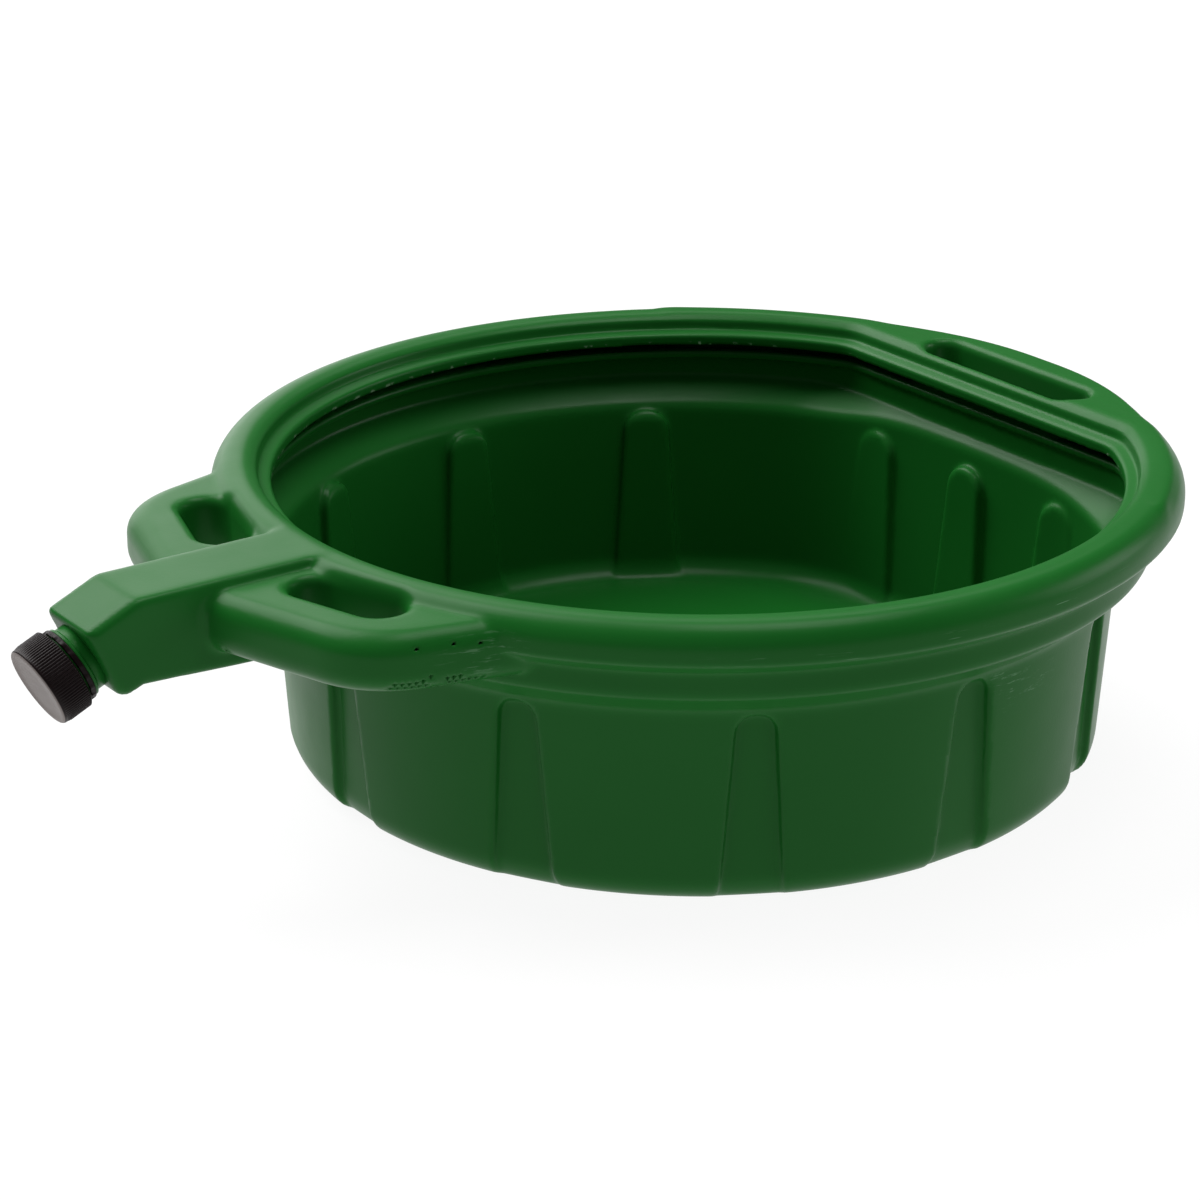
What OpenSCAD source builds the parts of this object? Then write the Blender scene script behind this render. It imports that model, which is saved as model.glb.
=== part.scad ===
// Round oil drain pan with a pouring spout, a rolled anti-splash rim and three loop handles.
// +Z is up, the origin is on the axis of the round bowl where it rests, the spout points to -X.
// The pan is one hollow blow moulding. It is drawn as regions that meet face to face.

/* [Bowl] */
// Radius of the rim at its widest line
rim_r = 228.6; // [200:0.1:260]
// Height of the pan from the base to the rim's crest
pan_h = 145; // [125:1:180]
// Wall thickness of the moulding
wall = 3; // [2:0.1:4]
// How far inside the rim's widest line the lower wall stands at the shoulder
shoulder_in = 27.2; // [26:0.1:50]
// How much the lower wall draws in towards the base
draft = 5; // [2:0.5:12]
// Radius of the bottom corner
corner_r = 12; // [8:1:26]
// How far inside the rim's widest line the upright band under it stands
band_in = 11.2; // [10:0.1:20]
// Distance from the crest down to the bottom of that band
band_depth = 37; // [33:1:45]
// Height of the sloped shoulder between the band and the lower wall
shoulder_h = 12; // [8:1:18]

/* [Flutes] */
// Angle between neighbouring flutes of the round wall
flute_step = 30; // [24:1:36]
// Radius of a flute at the base
flute_r_low = 15; // [12:0.5:19]
// Radius of a flute at its domed top
flute_r_high = 8; // [6:0.5:10]
// How deep a flute cuts into the wall
flute_depth = 6.5; // [4:0.5:9]
// Distance between the flutes of the flat rear wall
rear_flute_gap = 68; // [50:1:74]

/* [Rim] */
// Height of the roll from the crest down to the top of the band
roll_h = 27; // [24:1:30]
// How far below the crest the rim is widest
parting_drop = 12.6; // [10:0.1:16]
// Width of the roll from its widest line in to the crest
crest_in = 12.6; // [10:0.1:15]
// Width of the roll from its widest line in to the inner ridge
ridge_in = 21.4; // [18:0.1:23]
// Width of the roll from its widest line in to the lip
lip_in = 28.1; // [25:0.1:30]
// How far below the crest the inner ridge is
ridge_drop = 3.6; // [2:0.1:4.5]
// How far below the crest the narrow ledge starts
ledge_drop = 7.5; // [6:0.5:9]
// How far below the crest the trimmed lip ends
lip_drop = 15; // [13:0.5:17]

/* [Rear handle] */
// How far inside the rim's widest line the upright inner face of the rear handle stands
rear_in = 43.6; // [40:0.1:60]
// How far inside the rim's widest line the straight outer edge stands
rear_edge_in = 0.6; // [-5:0.1:6]
// Half length of the straight outer edge
rear_edge_y = 50; // [40:1:64]
// Width of the rear hand slot
rear_slot_w = 21; // [16:0.5:24]
// Length of the rear hand slot
rear_slot_l = 112; // [80:1:124]
// Thickness of the rear handle
rear_t = 28; // [22:1:30]

/* [Front handles] */
// How far inside the rim's widest line the middle of a front hand slot is, along the spout
front_slot_in = -0.4; // [-10:0.1:6]
// Distance from the spout's centre line to the middle of a front hand slot
front_slot_y = 56; // [50:1:70]
// Angle between a front slot and the line across the pan
front_slot_a = 17; // [8:1:22]
// Width of a front hand slot
front_slot_w = 23; // [18:0.5:27]
// Length of a front hand slot
front_slot_l = 58; // [50:1:74]
// How far past its slot a front handle's outer edge runs before the oblique end face
front_end = 10.5; // [6:0.5:30]
// Angle between the oblique end face and the spout's centre line
front_end_a = 15; // [5:1:30]
// Thickness of a front handle
front_t = 28; // [20:1:32]
// How far the front handles lie below the crest
front_drop = 5; // [2:0.5:8]

/* [Spout] */
// Outer width of the spout
spout_w = 40; // [38:1:46]
// Outer height of the spout at the bend
spout_h = 40; // [38:1:44]
// Outer height of the spout where it leaves the rim
spout_root_h = 45; // [40:1:48]
// How far outside the rim's widest line the spout bends
bend_out = 79; // [64:0.1:95]
// Angle of the nozzle below level
nozzle_a = 24; // [15:1:36]
// Length of the bent head along its top
head_l = 27; // [22:0.5:34]
// Depth of the head's end face
head_t = 36.5; // [34:0.5:42]

/* [Neck and cap] */
// Outer radius of the neck under the thread
neck_r = 15.4; // [13:0.1:16.5]
// Length of the neck
neck_l = 21; // [19:0.5:26]
// Height of the thread above the neck
thread_h = 1.2; // [0.8:0.1:1.4]
// Pitch of the thread
thread_pitch = 4.2; // [3:0.1:4.5]
// Length of the cap's skirt
cap_skirt = 14.4; // [12:0.2:15]
// Thickness of the cap's skirt and of its end
cap_wall = 1.6; // [1.2:0.1:2]
// Number of grip ribs round the cap
cap_ribs = 90; // [60:6:108]
// Thickness of the sealing disc
liner_t = 1.2; // [0.8:0.1:2]
// Width of the black ring along the neck
ring_w = 2.6; // [1.5:0.1:4]
// Gap left between pieces that move past each other
clearance = 0.3; // [0.2:0.05:0.4]

/* [Hidden] */
$fn = 96;

pan_green = [0.13, 0.42, 0.18];
cap_black = [0.09, 0.07, 0.07];
liner_white = [0.86, 0.86, 0.83];

arc_steps = 8;
step_land = 0.8;
skin_gap = 0.1;
touch = 0.02;

shoulder_r = rim_r - shoulder_in;
neck_band_r = rim_r - band_in;
rear_x = rim_r - rear_in;
rear_edge_x = rim_r - rear_edge_in;
front_slot_x = rim_r - front_slot_in;
bend_x = rim_r + bend_out;

roll_z = pan_h - roll_h;
band_z = pan_h - band_depth;
shoulder_z = band_z - shoulder_h;
wall_low_r = shoulder_r - draft;
floor_r = wall_low_r - corner_r;
lip_r = rim_r - lip_in;
lip_z = pan_h - lip_drop;

// Rear flat of the bowl: the band follows the handle's inner face, the lower wall stands inside it
rear_band_x = rear_x + wall;
rear_wall_x = rear_band_x - 5.5;
rear_low_x = rear_wall_x - draft;
rear_lip_x = rear_x - 7.5;

// Nozzle frame: u runs out along the neck, v runs down the end face
function out_x(s) = -s * cos(nozzle_a);
function out_z(s) = -s * sin(nozzle_a);
head_top = [-bend_x + out_x(head_l), pan_h + out_z(head_l)];
head_low = head_top + head_t * [sin(nozzle_a), -cos(nozzle_a)];
nozzle = (head_top + head_low) / 2;

thread_r = neck_r + thread_h;
cap_bore_r = thread_r + clearance;
cap_r = cap_bore_r + cap_wall;
cap_end = neck_l + liner_t + 2 * skin_gap;

function arc(c, r, from, to, n = arc_steps) =
    [for (i = [0:n]) let (a = from + (to - from) * i / n) c + r * [cos(a), sin(a)]];

// Outer outline of the round bowl, shrunk by t all over
function bowl_outline(t, top) = concat(
    [[0, t]],
    arc([floor_r, corner_r], corner_r - t, -90, -6),
    [[shoulder_r - t, shoulder_z + t / 2], [neck_band_r - t, band_z + t / 2],
     [neck_band_r - t, top], [0, top]]);

// Side outline that flattens the rear of the bowl, shrunk by t
function rear_outline(t, top) = concat(
    [[-rim_r, t]],
    arc([rear_low_x - corner_r, corner_r], corner_r - t, -90, -6),
    [[rear_wall_x - t, shoulder_z + t / 2 + 4], [rear_band_x - t, band_z + t / 2],
     [rear_band_x - t, top], [-rim_r, top]]);

// Outer face of the roll from the band, over the crest, to the ridge, for a skin t inside it
function roll_outline(t) = concat(
    [[neck_band_r - t, roll_z]],
    arc([neck_band_r + 6, roll_z + 2], 6 + t, 180, 122, 4),
    [[rim_r - t, pan_h - parting_drop - 5.4 + t]],
    arc([rim_r - crest_in, pan_h - parting_drop], crest_in - t, 0, 90),
    [[rim_r - ridge_in + t, pan_h - ridge_drop - t]]);

// The step, ledge and trimmed lip at the inside of the roll, from outside to inside and back
function lip_outline() = [
    [rim_r - ridge_in - step_land, pan_h - ledge_drop],
    [lip_r, pan_h - ledge_drop - 1.5],
    [lip_r, lip_z],
    [lip_r + wall, lip_z],
    [lip_r + wall, pan_h - ledge_drop - 1 - wall],
    [rim_r - ridge_in - step_land + wall, pan_h - ledge_drop - wall]];

function reversed(p) = [for (i = [len(p) - 1:-1:0]) p[i]];

// One corner of an outline moved in by d along both of its edges
function edge_normal(a, b) = let (e = (b - a) / norm(b - a)) [-e[1], e[0]];
function inset_corner(a, b, c, d) =
    let (m = edge_normal(a, b), n = edge_normal(b, c)) b + d * (m + n) / (1 + m * n);
function inset(p, d) = [for (i = [0:len(p) - 1])
    inset_corner(p[(i + len(p) - 1) % len(p)], p[i], p[(i + 1) % len(p)], d)];

// Rear handle, anticlockwise from the inner face
rear_root_y = sqrt(pow(rim_r, 2) - pow(rear_x, 2));
rear_plan = [
    [rear_x, -rear_root_y], [rear_x + 10, -rear_root_y + 9], [rear_edge_x, -rear_edge_y],
    [rear_edge_x, rear_edge_y], [rear_x + 10, rear_root_y - 9], [rear_x, rear_root_y]];

// Left front handle, anticlockwise, from the rim's side of the spout
slot_out = front_slot_w / 2 + 24.5;
end_cut = 12;
slot_u = [sin(front_slot_a), cos(front_slot_a)];
slot_n = [-cos(front_slot_a), sin(front_slot_a)];
slot_mid = [-front_slot_x, front_slot_y];
end_u = [cos(front_end_a), sin(front_end_a)];
end_corner = slot_mid + slot_out * slot_n + (front_slot_l / 2 + front_end) * slot_u;
root_x = front_slot_x - 58;
bar_near = slot_mid + slot_out * slot_n;
bar_run = (bar_near[1] - spout_w / 2 - 12) / slot_u[1];
bar_start = bar_near - bar_run * slot_u;
front_plan = [
    [-root_x, spout_w / 2], end_corner + (-root_x - end_corner[0]) / end_u[0] * end_u,
    end_corner + end_cut * end_u, end_corner - end_cut * slot_u, bar_start,
    [bar_start[0] + 8, spout_w / 2]];

module solid_of_turn(outline) {
    rotate_extrude() polygon(outline);
}

// A profile in X and Z, pushed out both ways along Y
module across(outline, w) {
    rotate([90, 0, 0]) linear_extrude(w, center = true) polygon(outline);
}

// A plate between two heights with its edges taken off all round
module plate(outline, low, high, edge) {
    hull() {
        translate([0, 0, low]) linear_extrude(high - low) polygon(inset(outline, edge));
        translate([0, 0, low + edge]) linear_extrude(high - low - 2 * edge) polygon(outline);
    }
}

module slot(l, w, low, high) {
    translate([0, 0, low]) linear_extrude(high - low) {
        square([w, l - w], center = true);
        for (s = [-1, 1]) translate([0, s * (l - w) / 2]) circle(d = w);
    }
}

// A flute is a slim cone with a ball on top, standing in the wall
module flute(grow) {
    top_z = shoulder_z - flute_r_high - 2;
    low_x = flute_r_low - flute_depth;
    translate([low_x, 0, -corner_r])
        cylinder(h = top_z + corner_r, r1 = flute_r_low + grow, r2 = flute_r_high + grow);
    translate([low_x, 0, top_z]) sphere(r = flute_r_high + grow);
}

module flutes(grow) {
    for (i = [-4:4])
        rotate([0, 0, 180 + i * flute_step]) translate([wall_low_r, 0, 0]) flute(grow);
    for (y = [-1, 0, 1]) translate([rear_low_x, y * rear_flute_gap, 0]) flute(grow);
}

module bowl_body(t, top) {
    difference() {
        intersection() {
            solid_of_turn(bowl_outline(t, top));
            across(rear_outline(t, top), 2 * rim_r + 2);
        }
        flutes(t);
    }
}

// Everything inside the outer face of the bowl and roll, which handles and spout stop at
module pan_core() {
    outer = bowl_outline(0, roll_z);
    solid_of_turn(concat(
        [for (i = [0:len(outer) - 3]) outer[i]], roll_outline(0),
        [[0, pan_h - ridge_drop]]));
}

// The oil's way from the bowl into the spout
module passage() {
    translate([-bend_x + 10, -spout_w / 2 + wall, pan_h - spout_h + wall])
        cube([bend_x - 10 - lip_r - 6, spout_w - 2 * wall, lip_z - (pan_h - spout_h + wall)]);
    translate([-rim_r, -spout_w / 2 + wall, pan_h - spout_h + wall])
        cube([60, spout_w - 2 * wall, lip_z - (pan_h - spout_h + wall) - 1]);
}

module bowl() {
    color(pan_green) difference() {
        bowl_body(0, roll_z);
        bowl_body(wall, roll_z + 1);
        passage();
    }
}

module rim() {
    color(pan_green) difference() {
        intersection() {
            solid_of_turn(concat(roll_outline(0), lip_outline(), reversed(roll_outline(wall))));
            translate([-2 * rim_r, -2 * rim_r, 0])
                cube([2 * rim_r + rear_x, 4 * rim_r, 2 * pan_h]);
        }
        passage();
        front_slot(wall, roll_z - 1);
        mirror([0, 1, 0]) front_slot(wall, roll_z - 1);
    }
}

module rear_handle() {
    slot_x = rear_band_x + wall + rear_slot_w / 2;
    low = pan_h - rear_t;
    color(pan_green) {
        difference() {
            translate([0, 0, low]) linear_extrude(rear_t) polygon(rear_plan);
            difference() {
                translate([0, 0, low + wall])
                    linear_extrude(rear_t - 2 * wall) polygon(inset(rear_plan, wall));
                translate([slot_x, 0, 0])
                    slot(rear_slot_l + 2 * wall, rear_slot_w + 2 * wall, 0, 2 * pan_h);
            }
            for (s = [-1, 1])
                translate([rear_x - 1, s * (rear_root_y - 19) - 12, low + wall + 1])
                    cube([wall + 2, 24, rear_t - 2 * wall - 2]);
            translate([slot_x, 0, 0]) slot(rear_slot_l, rear_slot_w, 0, 2 * pan_h);
            intersection() {
                solid_of_turn(bowl_outline(0, roll_z));
                across(rear_outline(0, roll_z), 2 * rim_r);
            }
        }
        intersection() {
            shift = rear_lip_x - lip_r;
            across(concat([[rear_x, pan_h], [rim_r - ridge_in + shift, pan_h - ridge_drop]],
                          [for (p = lip_outline()) p + [shift, 0]],
                          [[rear_x, lip_outline()[5][1]]]), 2 * rim_r);
            translate([0, 0, lip_z]) cylinder(h = lip_drop, r = lip_r);
        }
    }
}

// The left front hand slot, grown by the wall where the moulding goes round it
module front_slot(grow, low) {
    translate(slot_mid) rotate([0, 0, -front_slot_a])
        slot(front_slot_l + 2 * grow, front_slot_w + 2 * grow, low, 2 * pan_h);
}

module front_handle() {
    high = pan_h - front_drop;
    low = high - front_t;
    difference() {
        union() {
            plate(front_plan, low, high, 4);
            intersection() {
                front_slot(wall, low + wall);
                pan_core();
            }
        }
        difference() {
            plate(inset(front_plan, wall), low + wall, high - wall, 3);
            front_slot(wall, 0);
        }
        front_slot(0, 0);
        difference() {
            pan_core();
            front_slot(wall, 0);
        }
    }
}

module handle_left() { color(pan_green) front_handle(); }
module handle_right() { color(pan_green) mirror([0, 1, 0]) front_handle(); }

// Side outline of the spout, anticlockwise. It starts nearer the axis under the band than above it.
function spout_outline(low_root, root) = [
    [-low_root, pan_h - spout_root_h], [-low_root, band_z + touch], [-root, band_z + touch],
    [-root, pan_h], [-bend_x, pan_h], head_top, head_low, [head_low[0] + 16, pan_h - spout_h]];

module spout() {
    color(pan_green) difference() {
        across(spout_outline(wall_low_r, rim_r - crest_in), spout_w);
        across(inset(spout_outline(lip_r - 50, lip_r - 30), wall), spout_w - 2 * wall);
        pan_core();
        nozzle_place() translate([0, 0, -2 * wall]) cylinder(h = 4 * wall, r = neck_r - wall);
    }
}

// Puts +Z along the neck, with its foot on the spout's end face
module nozzle_place() {
    translate([nozzle[0], 0, nozzle[1]]) rotate([0, -90 - nozzle_a, 0]) children();
}

// One and a half turns of thread, swept as a chain of short ridges
thread_turns = 1.5;
thread_seg = 24;
thread_z = neck_l - 3 - thread_pitch * thread_turns;
thread_n = thread_turns * thread_seg;
function thread_ring(i) =
    let (a = 360 * i / thread_seg, z = thread_z + thread_pitch * i / thread_seg,
         h = thread_h * min(1, i / 4 + 0.1, (thread_n - i) / 4 + 0.1))
    [for (p = [[-touch * 20, -1.3], [h, -0.5], [h, 0.5], [-touch * 20, 1.3]])
        [(neck_r + p[0]) * cos(a), (neck_r + p[0]) * sin(a), z + p[1]]];
module thread() {
    points = [for (i = [0:thread_n], p = thread_ring(i)) p];
    last = 4 * thread_n;
    polyhedron(points, concat(
        [[3, 2, 1, 0], [last, last + 1, last + 2, last + 3]],
        [for (i = [0:thread_n - 1], k = [0:3], half = [0, 1])
            let (a = 4 * i + k, b = 4 * i + (k + 1) % 4)
            half == 0 ? [a, b + 4, a + 4] : [a, b, b + 4]]),
        convexity = 4);
}

module neck() {
    color(pan_green) nozzle_place() difference() {
        union() {
            cylinder(h = neck_l, r = neck_r);
            translate([0, 0, 4.4]) cylinder(h = 1.6, r = thread_r);
            thread();
        }
        translate([0, 0, -1]) cylinder(h = neck_l + 2, r = neck_r - wall);
    }
}

module neck_ring() {
    color(cap_black) nozzle_place() translate([0, 0, 6]) difference() {
        cylinder(h = ring_w - clearance, r = thread_r + 0.8);
        translate([0, 0, -1]) cylinder(h = ring_w + 2, r = neck_r + skin_gap);
    }
}

module cap_liner() {
    color(liner_white) nozzle_place() translate([0, 0, neck_l + skin_gap])
        cylinder(h = liner_t, r = cap_bore_r - skin_gap);
}

rib_h = 0.5;
function cap_plan() = [for (i = [0:2 * cap_ribs - 1])
    let (a = 180 * i / cap_ribs, r = cap_r + rib_h * (i % 2)) r * [cos(a), sin(a)]];

module cap() {
    foot = cap_end + cap_wall - cap_skirt;
    color(cap_black) nozzle_place() difference() {
        union() {
            translate([0, 0, foot]) linear_extrude(cap_skirt - 1) polygon(cap_plan());
            translate([0, 0, foot + 1]) cylinder(h = cap_skirt - 1, r = cap_r - skin_gap);
        }
        translate([0, 0, foot - 1]) cylinder(h = cap_end - foot + 1, r = cap_bore_r);
    }
}

bowl();
rim();
rear_handle();
handle_left();
handle_right();
spout();
neck();
neck_ring();
cap_liner();
cap();
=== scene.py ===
"""A round oil drain pan with a pouring spout, a rolled rim and three loop handles."""
import math

import bmesh
import bpy
import numpy as np
from mathutils import Matrix, Vector


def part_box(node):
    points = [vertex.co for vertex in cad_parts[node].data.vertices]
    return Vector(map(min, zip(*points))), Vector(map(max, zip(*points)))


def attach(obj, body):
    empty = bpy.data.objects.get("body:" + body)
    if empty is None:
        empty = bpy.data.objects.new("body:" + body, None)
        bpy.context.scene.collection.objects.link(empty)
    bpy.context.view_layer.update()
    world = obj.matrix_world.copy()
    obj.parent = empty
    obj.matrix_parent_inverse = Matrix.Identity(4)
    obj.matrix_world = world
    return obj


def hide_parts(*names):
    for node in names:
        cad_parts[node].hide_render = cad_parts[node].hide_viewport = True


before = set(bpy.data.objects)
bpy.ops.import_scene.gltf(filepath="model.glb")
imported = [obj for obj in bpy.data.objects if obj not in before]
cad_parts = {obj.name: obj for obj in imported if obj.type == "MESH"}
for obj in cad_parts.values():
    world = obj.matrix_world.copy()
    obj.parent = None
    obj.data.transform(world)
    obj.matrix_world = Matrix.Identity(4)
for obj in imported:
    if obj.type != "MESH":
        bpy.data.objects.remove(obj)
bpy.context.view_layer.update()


# ---------------------------------------------------------------------------
# Room
# A seamless white studio floor, lit from within like a product table, with the pan standing on it.
# The floor is only a stage and isn't part of the pan.
# ---------------------------------------------------------------------------


class Wire:
    """A value in a material, so that sums on it read as sums."""

    def __init__(self, finish, socket):
        self.finish = finish
        self.socket = socket

    def math(self, operation, first, second):
        return self.finish.add("ShaderNodeMath", {"operation": operation}, {0: first, 1: second})

    def __add__(self, other):
        return self.math("ADD", self, other)

    def __sub__(self, other):
        return self.math("SUBTRACT", self, other)

    def __rsub__(self, other):
        return self.math("SUBTRACT", other, self)

    def __mul__(self, other):
        return self.math("MULTIPLY", self, other)

    def __pow__(self, other):
        return self.math("POWER", self, other)

    def __abs__(self):
        return self.math("ABSOLUTE", self, 0.0)


class Finish:
    """A material and the one way of adding a node to it."""

    def __init__(self, name, **constants):
        self.material = bpy.data.materials.new(name)
        self.material.use_nodes = True
        self.tree = self.material.node_tree
        self.shader = self.tree.nodes["Principled BSDF"]
        for socket, value in constants.items():
            self.shader.inputs[socket.replace("_", " ")].default_value = value

    def add(self, kind, settings=None, inputs=None, out=0):
        node = self.tree.nodes.new(kind)
        for name, value in (settings or {}).items():
            setattr(node, name, value)
        for name, value in (inputs or {}).items():
            self.feed(node.inputs[name], value)
        return Wire(self, node.outputs[out])

    def feed(self, socket, value):
        if isinstance(value, Wire):
            self.tree.links.new(value.socket, socket)
        else:
            socket.default_value = value

    def drive(self, **inputs):
        for name, value in inputs.items():
            self.feed(self.shader.inputs[name.replace("_", " ")], value)

    def place(self):
        """The point on the surface, in the pan's own metres."""
        return self.add("ShaderNodeTexCoord", out=3)

    def split(self, where):
        """The x, y and z of a vector."""
        node = self.add("ShaderNodeSeparateXYZ", inputs={0: where}).socket.node
        return [Wire(self, socket) for socket in node.outputs]

    def join(self, x, y, z):
        """A vector from its x, y and z."""
        return self.add("ShaderNodeCombineXYZ", inputs={0: x, 1: y, 2: z})

    def noise(self, where, scale, detail=2.0, roughness=0.5):
        return self.add("ShaderNodeTexNoise", {"noise_dimensions": "3D"},
                        {"Vector": where, "Scale": scale, "Detail": detail,
                         "Roughness": roughness})

    def between(self, value, low, high):
        """0 below low, 1 above high, and smooth in between."""
        return self.add("ShaderNodeMapRange", {"interpolation_type": "SMOOTHSTEP"},
                        {"Value": value, "From Min": low, "From Max": high})

    def mix(self, share, first, second):
        return self.add("ShaderNodeMix", {"data_type": "RGBA"},
                        {0: share, 6: first, 7: second}, out=2)

    def bump(self, height, depth, strength, over=None):
        inputs = {"Height": height, "Distance": depth, "Strength": strength}
        if over is not None:
            inputs["Normal"] = over
        return self.add("ShaderNodeBump", inputs=inputs)


def colour(red, green, blue):
    return (red, green, blue, 1.0)


def wrap(name, points, faces, finish, smooth=True):
    """A mesh object from points in metres."""
    mesh = bpy.data.meshes.new(name)
    mesh.from_pydata(points, [], faces)
    mesh.validate()
    mesh.polygons.foreach_set("use_smooth", [smooth] * len(mesh.polygons))
    mesh.materials.append(finish.material)
    piece = bpy.data.objects.new(name, mesh)
    bpy.context.scene.collection.objects.link(piece)
    return piece


floor_half, floor_z = 9.0, -0.0006
floor_finish = Finish("studio_floor_paint", Roughness=0.9, Emission_Strength=0.93)
grain = floor_finish.noise(floor_finish.place(), 3.0)
floor_finish.drive(
    Base_Color=floor_finish.mix(grain, colour(0.055, 0.055, 0.055), colour(0.065, 0.065, 0.065)),
    Emission_Color=floor_finish.mix(grain, colour(0.98, 0.98, 0.98), colour(1, 1, 1)))
floor_corners = [(x * floor_half, y * floor_half, floor_z) for x, y in ((-1, -1), (1, -1), (1, 1), (-1, 1))]
floor = wrap("studio_floor", floor_corners, [(0, 1, 2, 3)], floor_finish, smooth=False)

# ---------------------------------------------------------------------------
# Pan
# One hollow blow moulding in green high-density polyethylene, about 3 mm thick.
# The mould shapes the outside as one closed body; then the skin inside the rim is trimmed out,
# which leaves the rolled rim and the handles hollow and open towards the bowl.
# ---------------------------------------------------------------------------

mm = 0.001
rim_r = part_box("rim")[1].y / mm
pan_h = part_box("rim")[1].z / mm
wall = 3.0

# The roll is a round of roll_r from its widest line up over the crest; a straight fall, a small ledge
# and the trimmed lip follow inside it. The band is the step under the roll, the shoulder the slope
# under the band.
roll_r = 12.6
crest_r = rim_r - roll_r
parting_z = pan_h - roll_r
crest_edge_r = rim_r - 21.4
ledge_r, ledge_z = rim_r - 27.3, pan_h - 9.6
lip_r, lip_top_z, lip_z = rim_r - 28.1, pan_h - 10.6, pan_h - 15.0
roll_foot_r, roll_foot_z = rim_r - 7, pan_h - 23
inner_foot_z = pan_h - 21
band_r = rim_r - 11.2
shoulder_r = rim_r - 27.2
shoulder_z = pan_h - 49.0
lower_top_z = pan_h - 37
rear_edge_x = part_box("rear_handle")[1].x / mm


def blend_in(a, b, k):
    """Two solids as one, with a fillet about k wide where they meet."""
    share = np.clip(0.5 + 0.5 * (b - a) / k, 0, 1)
    return b + (a - b) * share - k * share * (1 - share)


def keep_both(a, b, k):
    """What lies in both solids, with its edge rounded."""
    return -blend_in(-a, -b, k)


def outline(*corners_with_radius):
    """A closed outline whose corners are arcs of the radius given with each."""
    points = []
    count = len(corners_with_radius)
    for i, (x, z, radius) in enumerate(corners_with_radius):
        here = np.array([x, z], float)
        if radius == 0:
            points.append(here)
            continue
        before = np.array(corners_with_radius[i - 1][:2], float) - here
        after = np.array(corners_with_radius[(i + 1) % count][:2], float) - here
        before /= np.linalg.norm(before)
        after /= np.linalg.norm(after)
        half = math.acos(np.clip(before @ after, -1, 1)) / 2
        reach = radius / math.tan(half)
        centre = here + (before + after) / np.linalg.norm(before + after) * radius / math.sin(half)
        start, end = here + before * reach - centre, here + after * reach - centre
        turn = math.atan2(start[0] * end[1] - start[1] * end[0], start @ end)
        for share in np.linspace(0, 1, 9):
            c, s = math.cos(turn * share), math.sin(turn * share)
            points.append(centre + (start[0] * c - start[1] * s, start[0] * s + start[1] * c))
    return np.array(points)


class Profile:
    """How far a point (q, z) is from an outline, inside counted below nought."""

    step = 0.75
    low = (-20.0, -12.0)
    size = (380, 240)

    def __init__(self, points):
        q = self.low[0] + self.step * np.arange(self.size[0])[:, None]
        z = self.low[1] + self.step * np.arange(self.size[1])[None, :]
        nearest = np.full(self.size, 1e9)
        inside = np.zeros(self.size, bool)
        for (x0, z0), (x1, z1) in zip(points, np.roll(points, -1, axis=0)):
            dx, dz = x1 - x0, z1 - z0
            along = np.clip(((q - x0) * dx + (z - z0) * dz) / max(dx * dx + dz * dz, 1e-12), 0, 1)
            nearest = np.minimum(nearest, (q - x0 - dx * along) ** 2 + (z - z0 - dz * along) ** 2)
            if dz != 0:
                inside ^= ((z0 <= z) != (z1 <= z)) & (q < x0 + (z - z0) * dx / dz)
        self.table = (np.sqrt(nearest) * np.where(inside, -1, 1)).astype(np.float32)

    def __call__(self, q, z):
        u = np.clip((q - self.low[0]) / self.step, 0, self.size[0] - 1.001)
        v = np.clip((z - self.low[1]) / self.step, 0, self.size[1] - 1.001)
        i, j = u.astype(np.int32), v.astype(np.int32)
        a, b = (u - i).astype(np.float32), (v - j).astype(np.float32)
        t = self.table
        return ((t[i, j] * (1 - a) + t[i + 1, j] * a) * (1 - b)
                + (t[i, j + 1] * (1 - a) + t[i + 1, j + 1] * a) * b)


# Sections through the moulding, out from the axis. Each ends well inside the next.
core = -60.0
draft = 5.0
base_r, base_round = shoulder_r - draft - 1.5, 15
lower_wall = Profile(outline((core, 0, 0), (base_r, 0, base_round),
                             (shoulder_r + 0.6, lower_top_z, 0), (core, lower_top_z, 0)))
band = Profile(outline((core, shoulder_z - 6, 0), (shoulder_r - 8, shoulder_z - 6, 0),
                       (band_r, shoulder_z + 12, 5), (band_r, inner_foot_z, 0),
                       (core, inner_foot_z, 0)))
roll_under = [(core, roll_foot_z), (roll_foot_r, roll_foot_z),
              (rim_r - 1.2, pan_h - 18.4), (rim_r - 0.1, pan_h - 16.6)]
roll_arc = [(crest_r + roll_r * math.cos(a), parting_z + roll_r * math.sin(a))
            for a in np.radians(np.linspace(0, 134, 15))]
roll_inside = [(rim_r - 22.2, pan_h - 8.0), (ledge_r, ledge_z), (lip_r, lip_top_z),
               (lip_r, inner_foot_z), (core, inner_foot_z)]
roll = Profile(np.array(roll_under + roll_arc + roll_inside))

# The bowl is round but for a straight rear, which stands at a different distance at each height.
rear_lower_x, rear_band_x, rear_crest_x = 181.0, 187.0, 184.2
lower_shift = shoulder_r - rear_lower_x
band_shift = band_r - rear_band_x
roll_shift = crest_edge_r - rear_crest_x


def plane(x, y, angle, distance):
    """An upright plane that faces out at an angle, seen from above."""
    return x * math.cos(angle) + y * math.sin(angle) - distance


def slab(plan, z, bottom, top, edge):
    """A plan pushed up between two heights, with round edges."""
    across = plan + edge
    tall = np.abs(z - (bottom + top) / 2) - (top - bottom) / 2 + edge
    return (np.minimum(np.maximum(across, tall), 0)
            + np.hypot(np.maximum(across, 0), np.maximum(tall, 0)) - edge)


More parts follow.
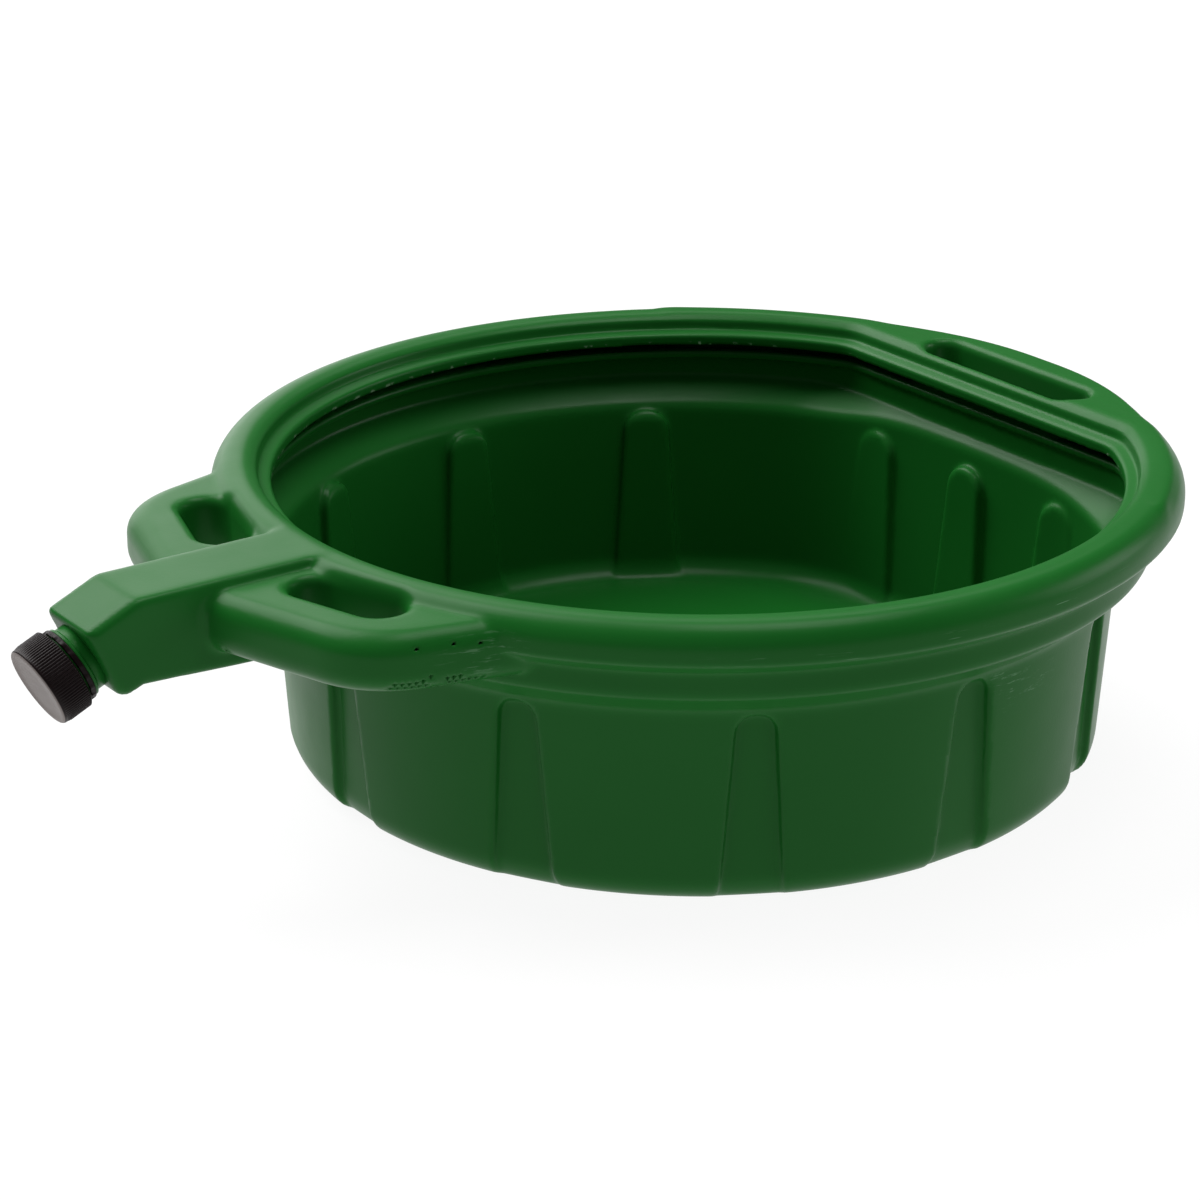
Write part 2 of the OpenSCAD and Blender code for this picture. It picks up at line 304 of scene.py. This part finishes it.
# A flute is a shallow groove pressed into the wall, wider and deeper at the base and domed at its top.
# Nine stand round the bowl, and three in a row on the straight rear.
flute_step = math.radians(30)
flute_top_z = shoulder_z - 12.0
flute_half_low, flute_half_high = 14.5, 9.0
flute_depth = 5.2
base_more, base_more_h = 6.0, 14.0
rear_flute_gap = 68.0
no_flute = 50.0


def flute(u, v, z):
    """u is the distance out from the wall, v the distance along it."""
    half = flute_half_low + (flute_half_high - flute_half_low) * np.clip(z / flute_top_z, 0, 1)
    beside = np.hypot(v, np.maximum(z - flute_top_z, 0)) - half
    deeper = base_more * np.clip(1 - z / base_more_h, 0, 1) ** 2
    return keep_both(beside, -u - flute_depth - deeper, 2.5)


def flutes(x, y, z, r, angle):
    drawn_in = draft * (1 - z / shoulder_z)
    turned = np.mod(angle + flute_step / 2, flute_step) - flute_step / 2
    round_ones = flute(r * np.cos(turned) - shoulder_r + drawn_in, r * np.sin(turned), z)
    round_ones = np.where(np.abs(angle) < 1.5 * flute_step, no_flute, round_ones)
    row = y - rear_flute_gap * np.clip(np.round(y / rear_flute_gap), -1, 1)
    rear_ones = flute(x - (shoulder_r - lower_shift) + drawn_in, row, z)
    return np.minimum(round_ones, rear_ones)


# Rear handle: a plate flush with the crest, with a long slot for the fingers.
rear_bottom = pan_h - 28.0
rear_slot_x, rear_slot_half_w, rear_slot_half_l = 200.0, 10.5, 56.0
rear_side, rear_corner = (math.radians(24), rim_r - 3.0), (math.radians(50), rim_r - 5.0)
rear_root_x = 118.0

# Front handles: two loops, one each side of the spout, a little below the crest.
front_top, front_bottom = pan_h - 5.0, pan_h - 33.0
front_lean = math.radians(17)
front_mid = (-229.0, 56.0)
front_slot_half_w, front_slot_half_l = 11.5, 29.0
front_reach = 36.0
front_end = (math.radians(105), 166.0)
front_root_x = -120.0

# Spout: a box flush with the crest that gets slowly shallower and bends down to the neck.
spout_half = 20.0
spout_drop, spout_root_drop = 40.0, 45.0
bend_x = -rim_r - 79.0
chin = (0.36, -0.933)
chin_root = 14
nozzle_tilt = math.radians(24)
head_l, head_t = 27.0, 36.5
out = (-math.cos(nozzle_tilt), -math.sin(nozzle_tilt))
head_top = (bend_x + head_l * out[0], pan_h + head_l * out[1])
head_low = (head_top[0] - head_t * out[1], head_top[1] + head_t * out[0])
nozzle = ((head_top[0] + head_low[0]) / 2, (head_top[1] + head_low[1]) / 2)
neck_r = 15.4


def capsule(u, v, half_w, half_l):
    return np.hypot(u, v - np.clip(v, half_w - half_l, half_l - half_w)) - half_w


def from_front_slot(x, s):
    """Across and along a front handle's slot; s is the distance from the middle plane."""
    dx, ds = x - front_mid[0], s - front_mid[1]
    across = -dx * math.cos(front_lean) + ds * math.sin(front_lean)
    along = dx * math.sin(front_lean) + ds * math.cos(front_lean)
    return across, along


def along_nozzle(x, y, z):
    """Distance out along the neck's axis, and away from it."""
    dx, dz = x - nozzle[0], z - nozzle[1]
    s = dx * out[0] + dz * out[1]
    return s, np.hypot(y, dx * out[1] - dz * out[0])


swell_h, swell_turn, swell_spread = 3.0, 0.62, 0.42


def from_roll(x, y):
    """Distance out for the roll, which is straight at the rear and swells a little at the rear corners."""
    swell = swell_h * np.exp(-((np.abs(np.arctan2(y, x)) - swell_turn) / swell_spread) ** 2)
    return keep_both(np.hypot(x, y) - swell, x + roll_shift, 3.0)


def mould(x, y, z):
    """The closed body that the mould shapes, as a distance in millimetres, below nought inside."""
    r = np.hypot(x, y)
    angle = np.arctan2(y, x)
    s = np.abs(y)
    q_low = keep_both(r, x + lower_shift, 24.0)
    q_band = keep_both(r, x + band_shift, 12.0)
    q_roll = from_roll(x, y)
    body = keep_both(lower_wall(q_low, z), -flutes(x, y, z, r, angle), 2.2)
    body = blend_in(body, band(q_band, z), 3.0)
    body = blend_in(body, roll(q_roll, z), 5.0)

    plate = keep_both(x - rear_edge_x, plane(x, s, *rear_side), 14.0)
    plate = keep_both(plate, plane(x, s, *rear_corner), 26.0)
    plate = np.maximum(keep_both(plate, rear_root_x - x, 10.0), crest_r - 4 - q_roll)
    body = blend_in(body, slab(plate, z, rear_bottom, pan_h, 4.0), 4.0)

    across, along = from_front_slot(x, s)
    loop = keep_both(across - front_reach, plane(x, s, *front_end), 22.0)
    loop = np.maximum(np.maximum(loop, crest_r - 2 - r), x - front_root_x)
    body = blend_in(body, slab(loop, z, front_bottom, front_top, 11.0), 1.8)

    slope = (x - bend_x) * out[1] - (z - pan_h) * out[0]
    end = (x - head_top[0]) * out[0] + (z - head_top[1]) * out[1]
    beneath = (x - head_low[0]) * chin[0] + (z - head_low[1]) * chin[1]
    fall = (spout_root_drop - spout_drop) / (-crest_r - bend_x)
    under = pan_h - spout_drop - (x - bend_x) * fall - z
    sides = np.maximum(s - spout_half, x + crest_r - 2)
    nose = keep_both(keep_both(slope, end, 2.5), z - pan_h, 1.0)
    box = keep_both(keep_both(nose, under, 6.0), sides, 5.0)
    head = keep_both(keep_both(nose, beneath, 6.0), np.maximum(sides, x - bend_x - chin_root), 5.0)
    body = blend_in(body, np.minimum(box, head), 3.0)

    body = keep_both(body, z - pan_h, 1.5)
    rear_slot = capsule(x - rear_slot_x, y, rear_slot_half_w, rear_slot_half_l)
    body = keep_both(body, -rear_slot, 5.0)
    front_slot = capsule(across, along, front_slot_half_w, front_slot_half_l)
    upper = np.clip((z - front_bottom - 10) / 8, 0, 1)
    return keep_both(body, -front_slot, 2.0 + 3.5 * upper)


def trimmed(x, y, z):
    """The moulding as sold: a skin of the wall's thickness, with the rim's inside and the neck cut open."""
    half = wall / 2
    skin = np.abs(mould(x, y, z) + half) - half
    cut_half = 9
    opening = np.maximum(from_roll(x, y) - lip_r - wall - 1, np.abs(z - (lip_z - cut_half)) - cut_half)
    s, away = along_nozzle(x, y, z)
    bore = np.maximum(away - (neck_r - wall), np.abs(s) - cut_half)
    return np.maximum(np.maximum(skin, -opening), -bore)


def spaced(*stretches):
    """Places along a line from (start, end, step) stretches that follow one another."""
    places = [np.arange(a, b - step * 0.4, step) for a, b, step in stretches]
    return np.concatenate(places + [[stretches[-1][1]]])


def skin_mesh(field, turns, radii, heights):
    """Wraps a surface round field = 0 on a round grid, one point in each cell that the surface crosses."""
    cos, sin = np.cos(turns), np.sin(turns)
    x = (cos[:, None] * radii)[:, :, None].astype(np.float32)
    y = (sin[:, None] * radii)[:, :, None].astype(np.float32)
    z = heights[None, None, :].astype(np.float32)
    value = np.asarray(field(x, y, z), np.float32)
    inside = value < 0
    around = np.roll(inside, -1, axis=0)
    count = np.zeros((len(turns), len(radii) - 1, len(heights) - 1), np.int8)
    for block in (inside, around):
        for j in (0, 1):
            for k in (0, 1):
                count += block[:, j:j + count.shape[1], k:k + count.shape[2]]
    cells = np.argwhere((count > 0) & (count < 8))
    ci, cj, ck = cells.T

    def corner(di, dj, dk):
        i = (ci + di) % len(turns)
        place = np.stack([cos[i] * radii[cj + dj], sin[i] * radii[cj + dj], heights[ck + dk]], -1)
        return place, value[i, cj + dj, ck + dk]

    total = np.zeros((len(cells), 3))
    hits = np.zeros(len(cells))
    steps = [(0, 0, 0), (1, 0, 0), (0, 1, 0), (1, 1, 0), (0, 0, 1), (1, 0, 1), (0, 1, 1), (1, 1, 1)]
    for a in range(8):
        for b in range(a + 1, 8):
            if sum(p != q for p, q in zip(steps[a], steps[b])) != 1:
                continue
            (pa, va), (pb, vb) = corner(*steps[a]), corner(*steps[b])
            cut = (va < 0) != (vb < 0)
            share = np.where(cut, va / np.where(cut, va - vb, 1), 0)[:, None]
            total += np.where(cut[:, None], pa + (pb - pa) * share, 0)
            hits += cut
    points = total / hits[:, None]

    number = np.full(count.shape, -1, np.int64)
    number[ci, cj, ck] = np.arange(len(cells))
    middle = cj == 0
    for level in np.unique(ck[middle]):
        ring = np.flatnonzero(middle & (ck == level))
        points[ring[0]] = points[ring].mean(0) * (0, 0, 1)
        number[:, 0, level] = ring[0]

    quads = []
    for axis in range(3):
        crossed = inside != np.roll(inside, -1, axis)
        if axis:
            crossed = crossed[:, :-1] if axis == 1 else crossed[:, :, :-1]
        i, j, k = np.nonzero(crossed)
        ok = ((j > 0) & (j < count.shape[1]) if axis != 1 else j >= 0)
        ok &= ((k > 0) & (k < count.shape[2]) if axis != 2 else k >= 0)
        i, j, k = i[ok], j[ok], k[ok]
        one, two = [((0, 1, 0), (0, 0, 1)), ((0, 0, 1), (1, 0, 0)), ((1, 0, 0), (0, 1, 0))][axis]
        loop = []
        for a, b in ((1, 1), (0, 1), (0, 0), (1, 0)):
            loop.append(number[(i - a * one[0] - b * two[0]) % len(turns),
                               j - a * one[1] - b * two[1], k - a * one[2] - b * two[2]])
        quad = np.stack(loop, -1)
        flip = ~inside[i, j, k]
        quad[flip] = quad[flip][:, ::-1]
        quads.append(quad)
    quads = np.concatenate(quads)

    nudge, longest_move = 0.05, 1.0
    for _ in range(3):
        here = field(*points.T)
        slope = np.stack([field(*(points + d).T) - field(*(points - d).T)
                          for d in np.eye(3) * nudge], -1) / (2 * nudge)
        move = -(here / np.maximum((slope ** 2).sum(-1), 0.25))[:, None] * slope
        points += np.clip(move, -longest_move, longest_move)

    used = np.unique(quads)
    order = np.full(len(points), -1)
    order[used] = np.arange(len(used))
    faces = []
    for quad in order[quads].tolist():
        face = list(dict.fromkeys(quad))
        if len(face) > 2:
            faces.append(face)
    return points[used] * mm, faces


def turns_round():
    """Angles round the pan, closer together at the spout and the rear handle."""
    half = np.radians(spaced((0, 42, 0.6), (42, 138, 0.7), (138, 180, 0.5)))
    return np.concatenate([half, -half[1:-1][::-1]])


# The grid is closest where the walls, the roll and the handles are.
radii = spaced((0, 144, 6), (144, 170, 2.6), (170, 232, 1.25), (232, 352, 2.0))
heights = spaced((-3, 22, 2), (22, 94, 3), (94, 124, 2), (124, 148, 1.2))

pan_finish = Finish("green_polyethylene", IOR=1.5, Specular_IOR_Level=0.10)


def green(finish):
    """Satin green plastic with a fine skin, faint flow clouds, rubbed places and a pale cut edge."""
    place = finish.place()
    x, y, z = finish.split(place)
    from_axis = (x * x + y * y) ** 0.5
    turn = x.math("ARCTAN2", y, x)

    def near(value, middle, half_width):
        """1 where the value is close to a place, and down to 0 half a width away."""
        return 1.0 - finish.between(abs(value - middle), 0.3 * half_width, half_width)

    # Long hair-fine marks that run level round the pan.
    level = finish.join(turn * 6.0, from_axis * 20.0, z * 900.0)
    hairs = finish.between(finish.noise(level, 1.0, 3.0, 0.7), 0.60, 0.68)
    patches = finish.between(finish.noise(place, 34.0, 3.0), 0.46, 0.62)
    slanted = finish.join(turn * 16.0 + z * 60.0, from_axis * 30.0, z * 520.0)
    streaks = finish.between(finish.noise(slanted, 1.0, 4.0, 0.75), 0.54, 0.66)

    # Rubbed places: along the roll's widest line, on the near wall and on the near front handle.
    parting = near(z, (parting_z - 4.0) * mm, 0.010) * near(turn, math.radians(-88), 0.95)
    parting = parting * finish.between(from_axis, (rim_r - 12) * mm, (rim_r - 9) * mm)
    wall_rub = near(z, 0.080, 0.026) * near(turn, math.radians(-82), 0.16)
    wall_rub = wall_rub * finish.between(from_axis, (shoulder_r - 12) * mm, (shoulder_r - 9) * mm)
    handle_rub = near(z, 0.127, 0.014) * near(turn, math.radians(-149), 0.085)
    handle_rub = handle_rub * finish.between(from_axis, (rim_r - 2) * mm, rim_r * mm)
    rubbed = hairs * patches * parting + streaks * patches * wall_rub * 0.7
    rubbed = rubbed + streaks * handle_rub * 0.55
    rubbed = rubbed.math("MINIMUM", rubbed, 1.0)

    cut = near(from_axis, (lip_r + 1.0) * mm, 0.003) * near(z, lip_z * mm, 0.0022)
    nicks = finish.between(finish.noise(place, 260.0, 2.0), 0.58, 0.66) * cut

    clouds = finish.noise(place, 9.0, 3.0)
    plain = finish.mix(clouds, colour(0.0050, 0.086, 0.0095), colour(0.0080, 0.106, 0.0130))
    worn = finish.mix(rubbed * 0.55, plain, colour(0.17, 0.33, 0.19))
    finish.drive(Base_Color=finish.mix(nicks * 0.7, worn, colour(0.42, 0.55, 0.42)),
                 Roughness=finish.noise(place, 60.0, 2.0) * 0.10 + rubbed * 0.22 + 0.29)
    skin = finish.noise(place, 620.0, 2.0)
    swell = finish.bump(finish.noise(place, 26.0, 1.0), 0.0009, 0.22)
    finish.drive(Normal=finish.bump(skin * 0.6 + rubbed * 0.8, 0.00012, 0.35, swell))


green(pan_finish)
points, faces = skin_mesh(trimmed, turns_round(), radii, heights)
pan = wrap("pan_moulding", points, faces, pan_finish)
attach(pan, "pan")
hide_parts("bowl", "rim", "rear_handle", "handle_left", "handle_right", "spout")

# ---------------------------------------------------------------------------
# Neck
# The end of the moulding, green polyethylene, blown with the pan and cut off square.
# It has a bead that stops the black ring, then one and a half turns of thread for the cap.
# ---------------------------------------------------------------------------

neck_l, neck_root = 21.0, -2.4
thread_h, thread_pitch, thread_turns = 1.2, 4.2, 1.5
thread_section = ((-0.3, -1.5), (0.15, -1.25), (0.9, -0.6), (1.0, 0.0),
                  (0.9, 0.6), (0.15, 1.25), (-0.3, 1.5))
thread_steps = 72
bead_start, bead_end = 4.4, 6.0


def on_nozzle(away, angle, s):
    """A point in metres from its distance off the neck's axis, its turn and its distance along."""
    side = -away * math.sin(angle)
    return ((nozzle[0] + s * out[0] + side * out[1]) * mm, away * math.cos(angle) * mm,
            (nozzle[1] + s * out[1] - side * out[0]) * mm)


def lathe(section, turns, ripple=None):
    """Points and faces of a closed section (away, s) turned about the neck; ripple moves a point out."""
    points, faces, count = [], [], len(section)
    for i in range(turns):
        angle = math.tau * i / turns
        for k, (away, s) in enumerate(section):
            more = ripple(i, away, s) if ripple else 0.0
            points.append(on_nozzle(away + more, angle, s))
        j = (i + 1) % turns
        for k in range(count):
            n = (k + 1) % count
            faces.append((i * count + k, j * count + k, j * count + n, i * count + n))
    return points, faces


def swept_thread(root, height, start, turns, inwards=False):
    """A thread ridge wound round the neck, running out to nothing at both ends."""
    points, faces = [], []
    steps = round(turns * thread_steps)
    count = len(thread_section)
    way = -1 if inwards else 1
    for i in range(steps + 1):
        fade = min(1.0, 0.05 + i / 9, 0.05 + (steps - i) / 9)
        for out_by, along in thread_section:
            away = root + way * (height * out_by * (fade if out_by > 0 else 1))
            s = start + thread_pitch * i / thread_steps + along * (0.5 + 0.5 * fade)
            points.append(on_nozzle(away, -math.tau * i / thread_steps, s))
    for i in range(steps):
        for k in range(count):
            a, b = count * i + k, count * i + (k + 1) % count
            faces.append((a, b, b + count, a + count))
    faces += [tuple(range(count - 1, -1, -1)), tuple(count * steps + k for k in range(count))]
    return points, faces


def together(*meshes):
    """Several point and face lists as one."""
    points, faces = [], []
    for more_points, more_faces in meshes:
        faces += [tuple(len(points) + k for k in face) for face in more_faces]
        points += more_points
    return points, faces


def outwards(piece):
    """Turns every face of closed shells to face out."""
    shape = bmesh.new()
    shape.from_mesh(piece.data)
    bmesh.ops.recalc_face_normals(shape, faces=shape.faces)
    shape.to_mesh(piece.data)
    shape.free()
    return piece


neck_wall = outline((neck_r - wall, neck_root, 0), (neck_r, neck_root, 0), (neck_r, bead_start - 0.3, 0.5),
                    (neck_r + thread_h, bead_start + 0.4, 0.4), (neck_r + thread_h, bead_end, 0.5),
                    (neck_r, bead_end + 0.5, 0.3), (neck_r, neck_l, 0.8), (neck_r - wall, neck_l, 0.8))
neck_thread = swept_thread(neck_r, thread_h, neck_l - 3 - thread_pitch * thread_turns, thread_turns)
neck = outwards(wrap("neck_and_thread", *together(lathe(neck_wall, 96), neck_thread), pan_finish))
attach(neck, "pan")
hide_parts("neck")

# ---------------------------------------------------------------------------
# Neck ring
# The narrow black polypropylene band that stays on the neck, between the bead and the thread.
# Short teeth on its outer edge are what is left of the bridges that once held it to the cap.
# ---------------------------------------------------------------------------

ring_w, ring_thick, ring_gap = 2.3, 1.9, 0.1
ring_start = 6.15
ring_steps, tooth_steps, tooth_h = 144, 8, 0.6
liner_t, skin_gap, cap_wall = 1.2, 0.1, 1.6
cap_end = neck_l + liner_t + 2 * skin_gap
cap_face = cap_end + cap_wall


def black(finish, face):
    """Black polypropylene, satin, with fine moulding grain; past the face given, it is painted grey, a
    painted reflection of the bright floor.
    """
    place = finish.place()
    x, _, z = finish.split(place)
    along = (x - nozzle[0] * mm) * out[0] + (z - nozzle[1] * mm) * out[1]
    # Painted reflection: the cap's end face is painted grey where the bright floor would shine on the black
    # plastic.
    face_reflection = finish.between(along, (face - 0.6) * mm, (face - 0.25) * mm)
    tint = finish.noise(place, 90.0, 2.0)
    plain = finish.mix(tint, colour(0.0045, 0.0016, 0.0018), colour(0.007, 0.003, 0.0034))
    finish.drive(Base_Color=finish.mix(face_reflection * 0.8, plain, colour(0.22, 0.19, 0.18)),
                 Roughness=finish.noise(place, 400.0, 2.0) * 0.12 + 0.36,
                 Normal=finish.bump(finish.noise(place, 1500.0, 1.0), 0.00004, 0.3))


black_finish = Finish("black_polypropylene", IOR=1.49, Specular_IOR_Level=0.12)
black(black_finish, cap_face)


def tooth(i, away, s):
    """Eighteen short teeth, between which the ring's outer edge stands back."""
    at_edge = away > neck_r + 1.2 and s > ring_start + ring_w - tooth_h
    return -tooth_h if at_edge and i % tooth_steps > 2 else 0.0


ring_end = ring_start + ring_w
ring_section = outline((neck_r + ring_gap, ring_start, 0.2), (neck_r + ring_thick, ring_start, 0.5),
                       (neck_r + ring_thick, ring_end, 0.4), (neck_r + ring_gap, ring_end, 0.2))
ring = outwards(wrap("neck_ring_band", *lathe(ring_section, ring_steps, tooth), black_finish))
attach(ring, "pan")
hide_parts("neck_ring")

# ---------------------------------------------------------------------------
# Sealing disc
# A white foamed liner pressed into the cap's end, which seals on the neck's cut rim.
# The neck has left a faint round dent in it.
# ---------------------------------------------------------------------------

cap_bore_r = neck_r + thread_h + 0.3
liner_start = neck_l + skin_gap
foam = Finish("liner_foam", Roughness=0.8)
speckle = foam.noise(foam.place(), 300.0)
foam.drive(Base_Color=foam.mix(speckle, colour(0.72, 0.72, 0.68), colour(0.80, 0.80, 0.77)),
           Normal=foam.bump(foam.noise(foam.place(), 2500.0, 1.0), 0.00005, 0.5))
dent = 0.12
liner_r = cap_bore_r - skin_gap
liner_end = liner_start + liner_t
liner_section = [(0.0, liner_start), (neck_r - wall, liner_start), (neck_r - wall + 0.4, liner_start + dent),
                 (neck_r - 0.4, liner_start + dent), (neck_r, liner_start),
                 (cap_bore_r - 0.4, liner_start), (liner_r, liner_start + 0.3),
                 (liner_r, liner_end - 0.3), (cap_bore_r - 0.4, liner_end), (0.0, liner_end)]


def disc(section, turns, ripple=None):
    """A lathe whose section starts and ends on the axis."""
    points, faces = [on_nozzle(0, 0, section[0][1]), on_nozzle(0, 0, section[-1][1])], []
    rows = section[1:-1]
    count = len(rows)
    for i in range(turns):
        j = (i + 1) % turns
        for away, s in rows:
            more = ripple(i, away, s) if ripple else 0.0
            points.append(on_nozzle(away + more, math.tau * i / turns, s))
        faces.append((0, 2 + j * count, 2 + i * count))
        faces.append((1, 2 + i * count + count - 1, 2 + j * count + count - 1))
        for k in range(count - 1):
            here, ahead = 2 + i * count + k, 2 + j * count + k
            faces.append((here, ahead, ahead + 1, here + 1))
    return points, faces


liner = outwards(wrap("liner_disc", *disc(liner_section, 96), foam))
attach(liner, "liner")
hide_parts("cap_liner")

# ---------------------------------------------------------------------------
# Cap
# A black polypropylene screw cap, injection moulded, with fine upright grip ribs round its skirt.
# Its end is sunk a little inside a rounded edge, and a low ridge inside shows where its thread runs.
# ---------------------------------------------------------------------------

cap_skirt, rib_h, ribs = 14.4, 0.5, 90
cap_foot = cap_face - cap_skirt
cap_r = cap_bore_r + cap_wall
per_rib = 8
rib_end = cap_face - 1.5
sunk = cap_face - 0.2


def rib(i, away, s):
    """Grip ribs: round backs with narrow valleys, fading out below the cap's rounded edge."""
    if away < cap_r - 0.05 or s < cap_foot + 0.6:
        return 0.0
    fade = min(1.0, max(0.0, (rib_end - s) / 1.2))
    return rib_h * fade * abs(math.sin(math.pi * i / per_rib)) ** 0.6


cap_inside = [(0.0, cap_end), (cap_bore_r - 0.6, cap_end), (cap_bore_r, cap_end - 0.5),
              (cap_bore_r, cap_foot + 0.5), (cap_bore_r + 0.4, cap_foot), (cap_r - 0.3, cap_foot),
              (cap_r - 0.06, cap_foot + 0.3)]
cap_outside = [(cap_r, cap_foot + 0.61)] + [(cap_r, s) for s in np.linspace(cap_foot + 0.9, rib_end, 6)]
cap_top = [(cap_r + 0.05, cap_face - 1.2), (cap_r - 0.1, cap_face - 0.75), (cap_r - 0.45, cap_face - 0.3),
           (cap_r - 1.0, cap_face - 0.06), (cap_r - 1.6, cap_face), (cap_r - 3.0, cap_face - 0.02),
           (cap_r - 3.3, cap_face - 0.16), (cap_r - 9, sunk), (0.0, sunk)]
cap_section = cap_inside + cap_outside + cap_top
ridge_h, ridge_turns = 0.2, 1.2
inner_thread = swept_thread(cap_bore_r, ridge_h, cap_foot + 1.6, ridge_turns, inwards=True)
cap_shell = disc(cap_section, ribs * per_rib, rib)
cap = outwards(wrap("screw_cap", *together(cap_shell, inner_thread), black_finish))
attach(cap, "cap")
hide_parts("cap")

# ---------------------------------------------------------------------------
# Light and camera
# A broad soft key high up on the far side, and a lit wall and a window there that give the level faces
# a pale sheen. A panel overhead lights the bowl's floor and one at the right the near wall, which
# stays a deep green because nothing shines from the camera's side.
# ---------------------------------------------------------------------------

world = bpy.data.worlds.new("studio_air")
bpy.context.scene.world = world
world.use_nodes = True
world.node_tree.nodes["Background"].inputs["Color"].default_value = colour(1, 1, 1)
world.node_tree.nodes["Background"].inputs["Strength"].default_value = 0.16


def light(name, kind, place, at=(0, 0, 0.08), **settings):
    """A lamp at a place that faces a point."""
    data = bpy.data.lights.new(name, kind)
    for setting, value in settings.items():
        setattr(data, setting, value)
    lamp = bpy.data.objects.new(name, data)
    bpy.context.scene.collection.objects.link(lamp)
    lamp.location = place
    lamp.rotation_euler = (Vector(at) - Vector(place)).to_track_quat("-Z", "Y").to_euler()


light("soft_key", "SUN", (-0.7, 1.9, 2.6), energy=3.6, angle=math.radians(45))
for name, place, wide, high, power in (
        ("overhead", (0.35, -0.25, 2.4), 1.3, 1.0, 30.0),
        ("side_panel", (2.3, -1.1, 0.8), 1.4, 1.0, 16.0),
        ("lit_wall", (0.35, 2.6, 1.0), 2.0, 2.0, 24.0),
        ("window", (1.4, 1.9, 2.4), 2.0, 0.9, 14.0)):
    light(name, "AREA", place, shape="RECTANGLE", size=wide, size_y=high, energy=power)

view_height = math.radians(19.33)
view_turn = math.radians(-37.85)
view_roll = math.radians(0.70)
view_away = 1.5662
view_lens = 98.97
view_shift = (-0.0798, -0.1305)
back = Vector((math.sin(view_turn) * math.cos(view_height), -math.cos(view_turn) * math.cos(view_height),
               math.sin(view_height)))
right = Vector((math.cos(view_turn), math.sin(view_turn), 0))
up = back.cross(right)
right, up = (right * math.cos(view_roll) + up * math.sin(view_roll),
             up * math.cos(view_roll) - right * math.sin(view_roll))
camera_data = bpy.data.cameras.new("camera")
camera_data.sensor_width = 36
camera_data.lens = view_lens
camera_data.shift_x, camera_data.shift_y = view_shift
camera = bpy.data.objects.new("camera", camera_data)
camera.matrix_world = Matrix.Translation(back * view_away + Vector((0, 0, pan_h * mm))) @ Matrix(
    ((right.x, up.x, back.x), (right.y, up.y, back.y), (right.z, up.z, back.z))).to_4x4()
bpy.context.scene.collection.objects.link(camera)
bpy.context.scene.camera = camera
bpy.context.scene.view_settings.view_transform = "Standard"
